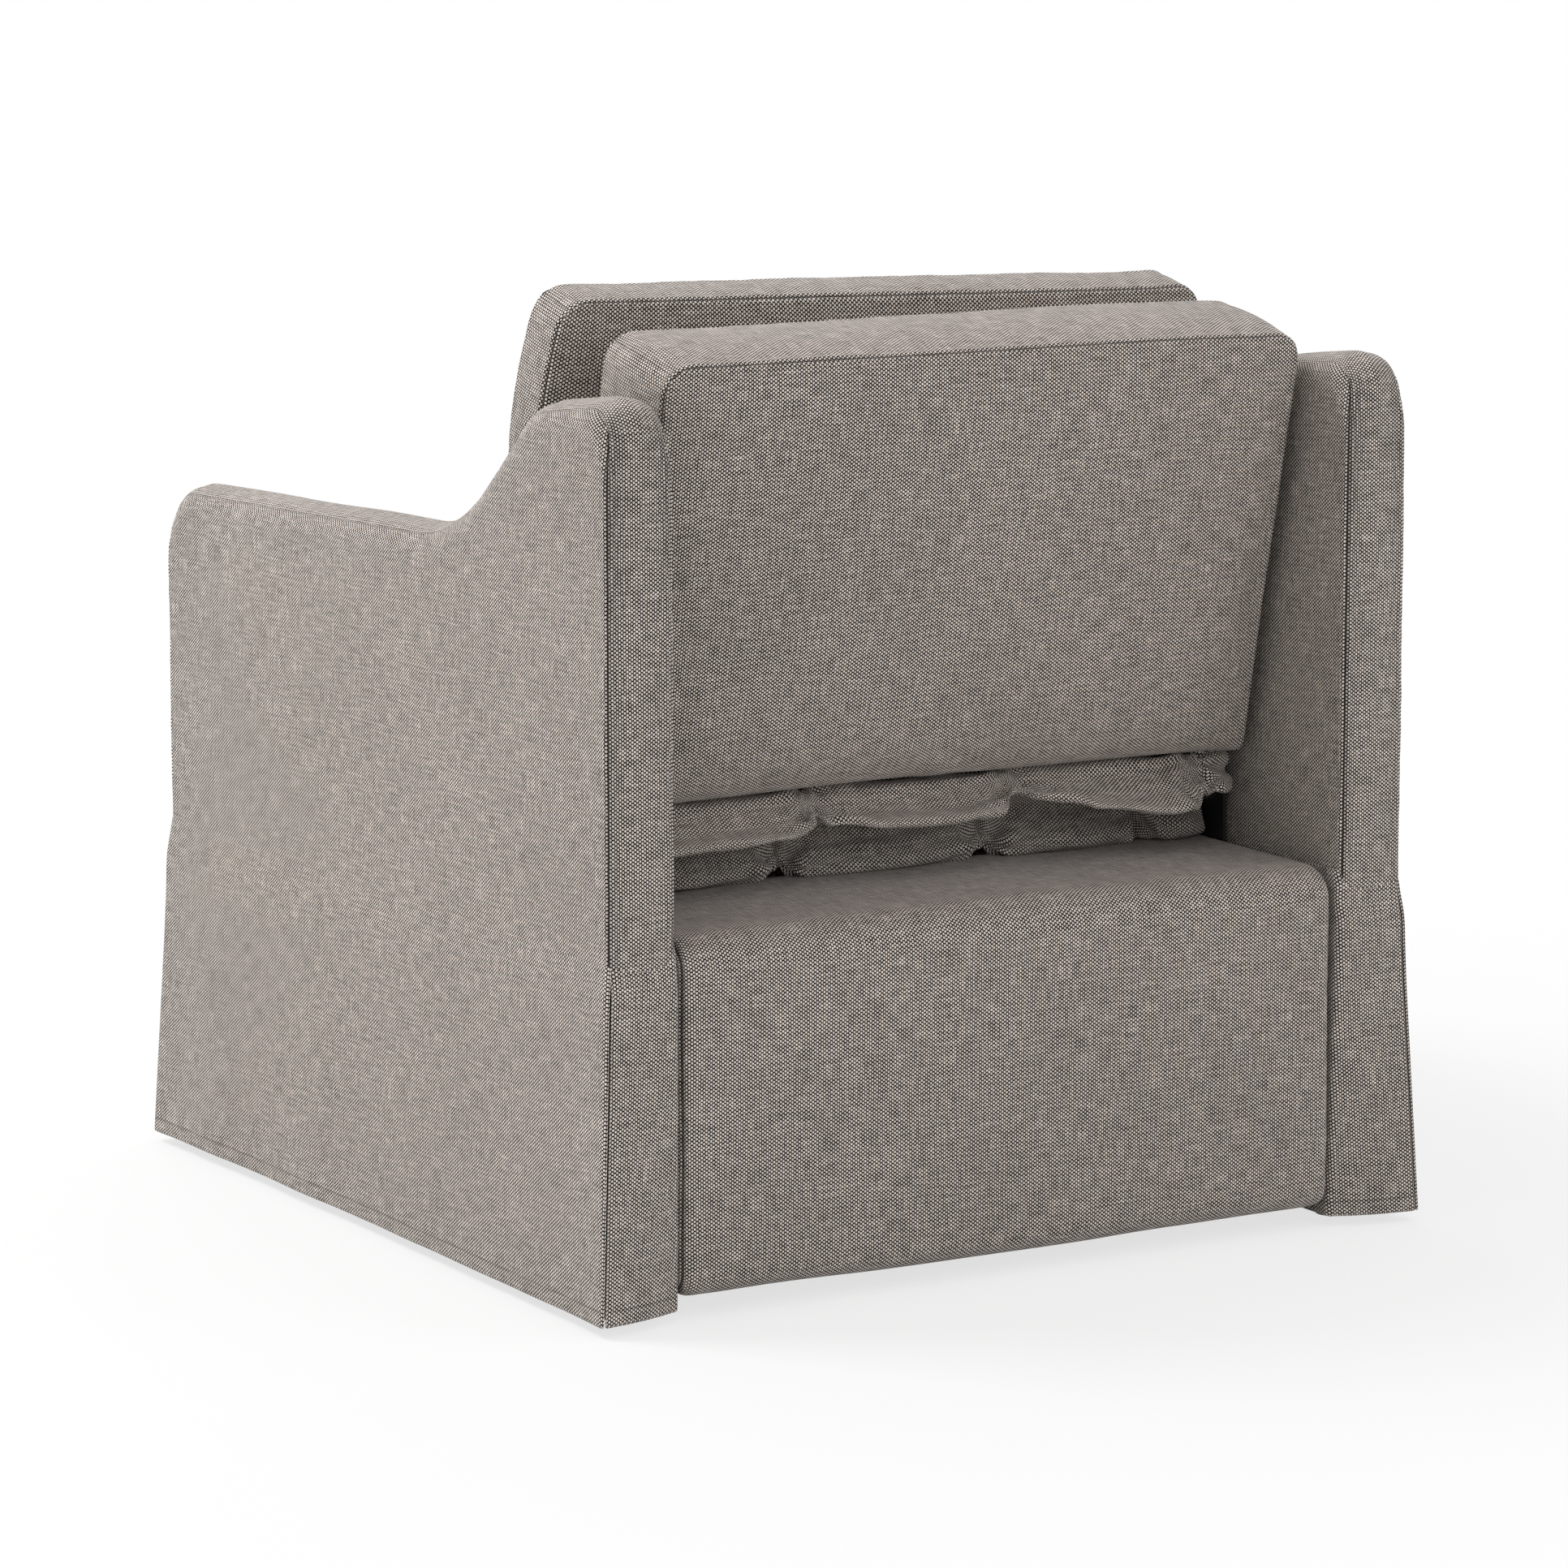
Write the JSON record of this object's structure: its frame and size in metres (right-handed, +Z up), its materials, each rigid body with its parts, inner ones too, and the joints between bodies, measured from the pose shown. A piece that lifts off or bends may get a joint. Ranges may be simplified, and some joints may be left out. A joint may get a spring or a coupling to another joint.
{
  "type": "convertible chair bed",
  "caption": "Skirted armchair with raised wings that turns into a single bed: the seat base rolls out, the hinged back lies down and the loose back cushion fills the front.",
  "frame": {"origin": "on the floor under the middle of the chair's outline", "axes": "+Z up; the sitter faces -Y, so +Y is the rear; +X is the sitter's left"},
  "size_m": [0.893, 0.932, 0.8932],
  "materials": {
    "upholstery": "matte",
    "webbing": "matte",
    "plywood": "matte",
    "slat_wood": "satin",
    "coated_steel": "satin",
    "zinc_steel": "satin",
    "black_plastic": "matte",
    "wheel_rubber": "matte"
  },
  "bodies": {
    "chair": {"arm_glides": "black_plastic", "fixed_crossbar": "slat_wood", "fixed_slats": "slat_wood", "hinge_pins": "zinc_steel", "hinge_plates": "coated_steel", "hinge_screws": "zinc_steel", "left_arm_cover": "upholstery", "left_arm_frame": "plywood", "left_arm_front_skirt": "upholstery", "left_arm_rear_skirt": "upholstery", "left_arm_side_skirt": "upholstery", "left_rear_box_board": "plywood", "left_seat_rail": "coated_steel", "lower_gather": "upholstery", "pawl_pins": "zinc_steel", "rail_bolts": "zinc_steel", "rear_block_cover": "upholstery", "rear_box_back_board": "plywood", "rear_box_bottom_board": "plywood", "rear_box_front_board": "plywood", "rear_box_top_board": "plywood", "rear_glides": "black_plastic", "right_arm_cover": "upholstery", "right_arm_frame": "plywood", "right_arm_front_skirt": "upholstery", "right_arm_rear_skirt": "upholstery", "right_arm_side_skirt": "upholstery", "right_rear_box_board": "plywood", "right_seat_rail": "coated_steel", "seat_cushion": "upholstery", "upper_gather": "upholstery"},
    "back": {"backrest_cushion": "upholstery", "backrest_frame": "plywood", "back_bolts": "zinc_steel", "hinge_arms": "coated_steel"},
    "deck": {"castor_axles": "zinc_steel", "castor_brackets": "coated_steel", "left_guide_block": "black_plastic", "pull_out_crossbar": "slat_wood", "pull_out_front_board": "plywood", "pull_out_front_pad": "upholstery", "pull_out_skirt": "upholstery", "pull_out_slats": "slat_wood", "pull_strap": "webbing", "right_guide_block": "black_plastic"},
    "loose_cushion": {"loose_back_cushion": "upholstery"},
    "left_wheel": {"left_castor_wheel": "wheel_rubber"},
    "right_wheel": {"right_castor_wheel": "wheel_rubber"},
    "left_catch": {"left_pawl": "coated_steel"},
    "right_catch": {"right_pawl": "coated_steel"}
  },
  "joints": [
    {"name": "deck_slide", "type": "slide", "parent": "chair", "child": "deck", "axis": [0, -1, 0], "range_m": [0, 0.46]},
    {"name": "left_castor_spin", "type": "hinge", "parent": "deck", "child": "left_wheel", "pos_m": [0.27, -0.388, 0.025], "axis": [1, 0, 0], "continuous": true},
    {"name": "right_castor_spin", "type": "hinge", "parent": "deck", "child": "right_wheel", "pos_m": [-0.27, -0.388, 0.025], "axis": [1, 0, 0], "continuous": true},
    {"name": "back_recline", "type": "hinge", "parent": "chair", "child": "back", "pos_m": [0, 0.24, 0.44], "axis": [-1, 0, 0], "range_deg": [0, 77.8], "deforming": ["upper_gather", "lower_gather"]},
    {"name": "cushion_lift", "type": "slide", "parent": "back", "child": "loose_cushion", "axis": [0, 0.2113, 0.9774], "range_m": [0, 0.4]},
    {"name": "left_catch_release", "type": "hinge", "parent": "chair", "child": "left_catch", "pos_m": [0.345, 0.234, 0.388], "axis": [1, 0, 0], "range_deg": [0, 15], "stiffness_Nm_per_rad": 0.2},
    {"name": "right_catch_release", "type": "hinge", "parent": "chair", "child": "right_catch", "pos_m": [-0.345, 0.234, 0.388], "axis": [1, 0, 0], "range_deg": [0, 15], "stiffness_Nm_per_rad": 0.2}
  ],
  "couplings": [
    {"joint": "left_castor_spin", "follows": "deck_slide", "rad_per_m": 40},
    {"joint": "right_castor_spin", "follows": "deck_slide", "rad_per_m": 40}
  ]
}
